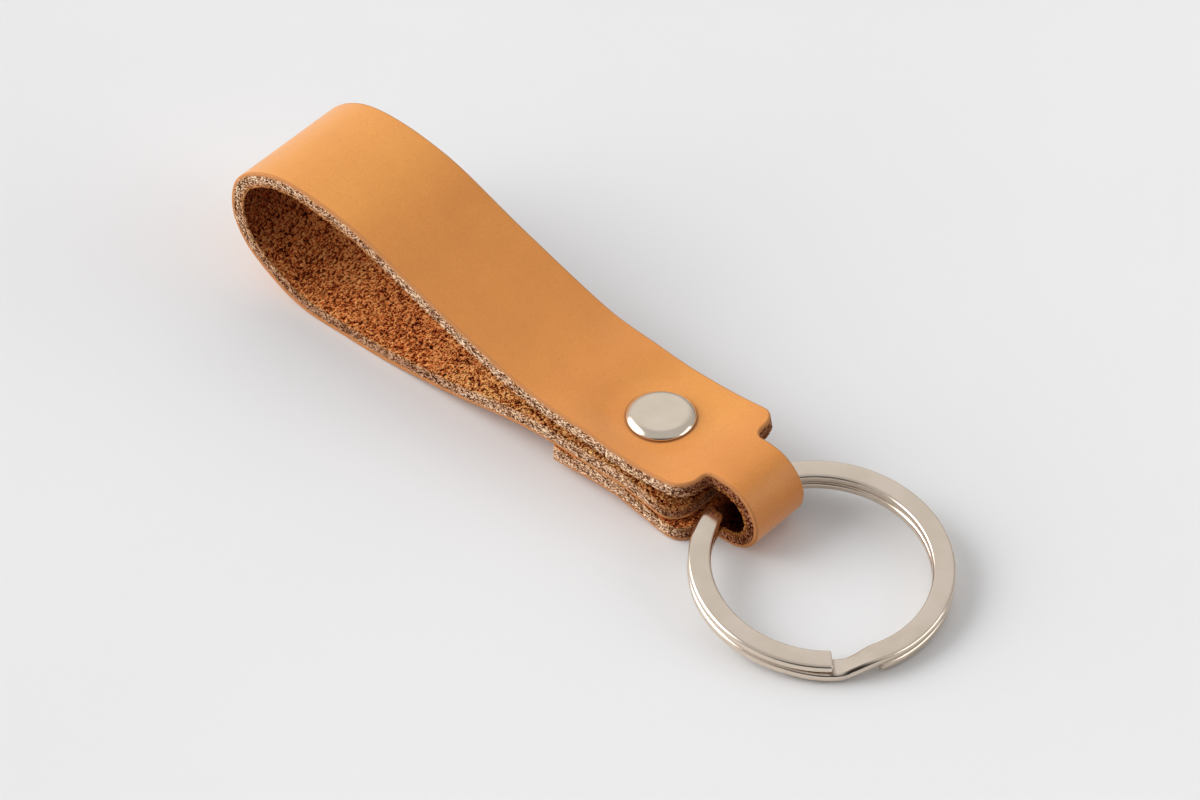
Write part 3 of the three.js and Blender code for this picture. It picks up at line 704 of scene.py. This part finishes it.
def wire(name, start, end, worn_start, worn_end):
    """A stretch of the wire from one angle to another; worn ends have a small chamfer."""
    n = int(abs(end - start) / 1.0) + 1
    a = np.linspace(start, end, n)
    inset = np.zeros(n)
    deg = math.degrees(1 / (RING_R - RING_BAND / 2))
    for worn, at, way in ((worn_start, start, -1), (worn_end, end, 1)):
        if worn:
            steps = np.array([0.16, 0.08, 0.03])
            more = at - np.sign(end - start) * way * steps * deg
            a = np.concatenate([a, more])
            inset = np.concatenate([inset, np.zeros(3)])
    a = np.unique(np.round(a, 6))
    if end < start:
        a = a[::-1]
    inset = np.zeros(len(a))
    for worn, at in ((worn_start, start), (worn_end, end)):
        if worn:
            d = np.abs(a - at) / deg
            inset = np.maximum(inset, np.where(d < 0.16, 0.16 - np.sqrt(np.maximum(0.16 ** 2 - (0.16 - d) ** 2, 0)), 0))
    sec = wire_section()
    t = np.radians(a)
    k = np.stack([1 - inset / (RING_BAND / 2), 1 - inset / (RING_WIRE_T / 2)], 1)
    u, v, twist = sec[None, :, 0] * k[:, :1], sec[None, :, 1] * k[:, 1:], coil_twist(a)[:, None]
    rad = RING_R - RING_BAND / 2 + coil_step(a)[:, None] + u * np.cos(twist) - v * np.sin(twist)
    z = coil_height(a)[:, None] + u * np.sin(twist) + v * np.cos(twist)
    x, y = rad * np.cos(t)[:, None], rad * np.sin(t)[:, None]
    turn = ring_turn()
    n, m = x.shape
    co = np.stack([x, y, z], -1).reshape(-1, 3) @ turn.T + [RING_X, RING_Y, RING_Z]
    i, j = np.arange(n - 1)[:, None] * m, np.arange(m)[None]
    jn = (j + 1) % m
    faces = np.stack([i + j, i + jn, i + m + jn, i + m + j], -1).reshape(-1, 4).tolist()
    faces.append(list(range(m))[::-1])
    faces.append(list(range((n - 1) * m, n * m)))
    if signed_volume(co, faces) < 0:
        faces = [f[::-1] for f in faces]
    ob = new_piece(name, co, faces)
    ob.data.polygons[-1].use_smooth = ob.data.polygons[-2].use_smooth = False
    # true normals of the wire, so that the flat sides stay flat
    place = np.stack([x, y, z], -1)
    nor = np.cross(np.gradient(place, axis=0), np.roll(place, -1, 1) - np.roll(place, 1, 1))
    nor /= np.linalg.norm(nor, axis=2)[..., None]
    away = np.stack([np.cos(t), np.sin(t), 0 * t], 1)[:, None] * sec[None, :, :1]
    nor *= np.sign((nor * away).sum())
    nor = nor.reshape(-1, 3) @ turn.T
    me = ob.data
    loops = np.zeros(len(me.loops), int)
    me.loops.foreach_get("vertex_index", loops)
    out = nor[loops]
    worn_rows = inset > 1e-6
    flat_ends = {len(me.polygons) - 1, len(me.polygons) - 2}
    for p in me.polygons:
        row = p.vertices[0] // m
        if p.index in flat_ends or worn_rows[min(row, n - 1)] or worn_rows[min(row + 1, n - 1)]:
            for li in p.loop_indices:
                out[li] = p.normal if p.index in flat_ends else 0
    me.normals_split_custom_set(out.tolist())
    # painted shadow in the slit under the free end, and a painted dark reflection along the dipped strand's outer top
    # edge
    foot = RING_END - 360
    slit = np.interp(a, [foot - 3.4, foot - 2.4, foot - 1.6, foot - 0.4], [0.0, 0.85, 0.7, 0.0])
    edge = 0.9 * smooth(foot + 1.0, foot + 5.0, a) * smooth(foot + 19.0, foot + 9.0, a)
    corner = np.zeros(m)
    corner[:7] = (0.3, 0.9, 1.0, 1.0, 0.9, 0.5, 0.0)
    upper = np.zeros(m)
    upper[3:19] = 1.0
    at = me.attributes.new("wire_gap_shade", "FLOAT", "POINT")
    at.data.foreach_set("value", np.maximum(slit[:, None] * upper[None], edge[:, None] * corner[None]).astype(np.float32).ravel())
    ob.data.materials.append(RING_METAL)
    return ob


coil = wire("split_ring_wire", RING_ROOT, RING_END - 720 + RING_TAIL, False, True)
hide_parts("split_ring_coil")
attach(coil, "split_ring")
free_end = wire("split_ring_wire_end", RING_END - 2.0, RING_ROOT, True, False)
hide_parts("split_ring_free_end")
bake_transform(free_end)


# ------------------------------------------------------------------ floor, light and camera
def build_floor():
    me = bpy.data.meshes.new("floor")
    r = 3.0
    me.from_pydata([(-r, -r, -0.00006), (r, -r, -0.00006), (r, r, -0.00006), (-r, r, -0.00006)], [], [(0, 1, 2, 3)])
    ob = bpy.data.objects.new("floor", me)
    bpy.context.scene.collection.objects.link(ob)
    m = Nodes("pale_floor")
    place = m.add("ShaderNodeTexCoord").outputs["Object"]
    soft = m.noise(place, 9.0, 3, 0.5)
    m.put(m.bsdf.inputs["Base Color"], m.ramp(soft, [(0.35, (0.79, 0.79, 0.795)), (0.65, (0.81, 0.81, 0.815))]))
    m.bsdf.inputs["Roughness"].default_value = 0.55
    m.bsdf.inputs["Specular IOR Level"].default_value = 0.25
    me.materials.append(m.mat)


build_floor()


def build_world():
    """A bright, even room: darker at the horizon and behind the camera, with a bright window at the left and a softer one at the back."""
    w = bpy.data.worlds.new("studio")
    bpy.context.scene.world = w
    w.use_nodes = True
    t = w.node_tree
    t.nodes.clear()
    out = t.nodes.new("ShaderNodeOutputWorld")
    bg = t.nodes.new("ShaderNodeBackground")
    way = t.nodes.new("ShaderNodeTexCoord").outputs["Generated"]
    sep = t.nodes.new("ShaderNodeSeparateXYZ")
    t.links.new(way, sep.inputs["Vector"])
    ramp = t.nodes.new("ShaderNodeValToRGB")
    t.links.new(sep.outputs["Z"], ramp.inputs["Fac"])
    stops = [(0.0, (0.20, 0.19, 0.18)), (0.08, (0.34, 0.33, 0.32)), (0.22, (0.76, 0.75, 0.74)), (0.6, (0.86, 0.86, 0.86)), (1.0, (0.86, 0.86, 0.87))]
    while len(ramp.color_ramp.elements) < len(stops):
        ramp.color_ramp.elements.new(0.5)
    for e, (p, c) in zip(ramp.color_ramp.elements, stops):
        e.position, e.color = p, (*c, 1)

    def lobe(aim, wide, narrow, amount):
        dot = t.nodes.new("ShaderNodeVectorMath")
        dot.operation = "DOT_PRODUCT"
        t.links.new(way, dot.inputs[0])
        dot.inputs[1].default_value = Vector(aim).normalized()
        k = t.nodes.new("ShaderNodeMapRange")
        k.interpolation_type = "SMOOTHSTEP"
        t.links.new(dot.outputs["Value"], k.inputs["Value"])
        for name, v in zip(("From Min", "From Max", "To Min", "To Max"), (math.cos(math.radians(wide)), math.cos(math.radians(narrow)), 0.0, amount)):
            k.inputs[name].default_value = v
        return k.outputs["Result"]

    def add(a, b):
        s = t.nodes.new("ShaderNodeMath")
        t.links.new(a, s.inputs[0])
        t.links.new(b, s.inputs[1])
        return s.outputs[0]

    glow = add(lobe((-0.62, 0.54, 0.52), 48, 15, 0.45), lobe((-0.72, -0.52, 0.46), 36, 4, 9.4))
    behind = lobe((0.70, -0.66, 0.25), 46, 22, 0.8)
    grey = t.nodes.new("ShaderNodeMath")
    grey.operation = "SUBTRACT"
    grey.inputs[0].default_value = 1.0
    t.links.new(behind, grey.inputs[1])
    bright = add(grey.outputs[0], glow)
    scale = t.nodes.new("ShaderNodeVectorMath")
    scale.operation = "SCALE"
    t.links.new(ramp.outputs["Color"], scale.inputs[0])
    t.links.new(bright, scale.inputs["Scale"])
    t.links.new(scale.outputs["Vector"], bg.inputs["Color"])
    bg.inputs["Strength"].default_value = 0.655
    t.links.new(bg.outputs["Background"], out.inputs["Surface"])


build_world()


def area_light(name, place, aim, size, watts, colour=(1, 1, 1)):
    d = bpy.data.lights.new(name, "AREA")
    d.shape = "RECTANGLE"
    d.size, d.size_y = size
    d.energy = watts
    d.color = colour
    ob = bpy.data.objects.new(name, d)
    bpy.context.scene.collection.objects.link(ob)
    ob.location = place
    ob.rotation_euler = (Vector(aim) - Vector(place)).to_track_quat("-Z", "Y").to_euler()


area_light("side", (1.0, 0.65, 0.62), (0, 0, 0), (0.9, 0.6), 3.0, (1.0, 0.985, 0.96))

AZ, EL, DIST = math.radians(41.5), math.radians(44.0), 804.5
back = Vector((math.sin(AZ) * math.cos(EL), -math.cos(AZ) * math.cos(EL), math.sin(EL)))
target = Vector(((-12.61 + OX) * MM, (3.62 + OY) * MM, 0))
cam_data = bpy.data.cameras.new("camera")
cam_data.sensor_fit = "HORIZONTAL"
cam_data.sensor_width = 36.0
cam_data.lens = 210.0
cam_data.clip_start, cam_data.clip_end = 0.01, 20.0
cam = bpy.data.objects.new("camera", cam_data)
bpy.context.scene.collection.objects.link(cam)
cam.location = target + back * DIST * MM
cam.rotation_euler = back.to_track_quat("Z", "Y").to_euler()
bpy.context.scene.camera = cam
bpy.context.scene.view_settings.view_transform = "Standard"
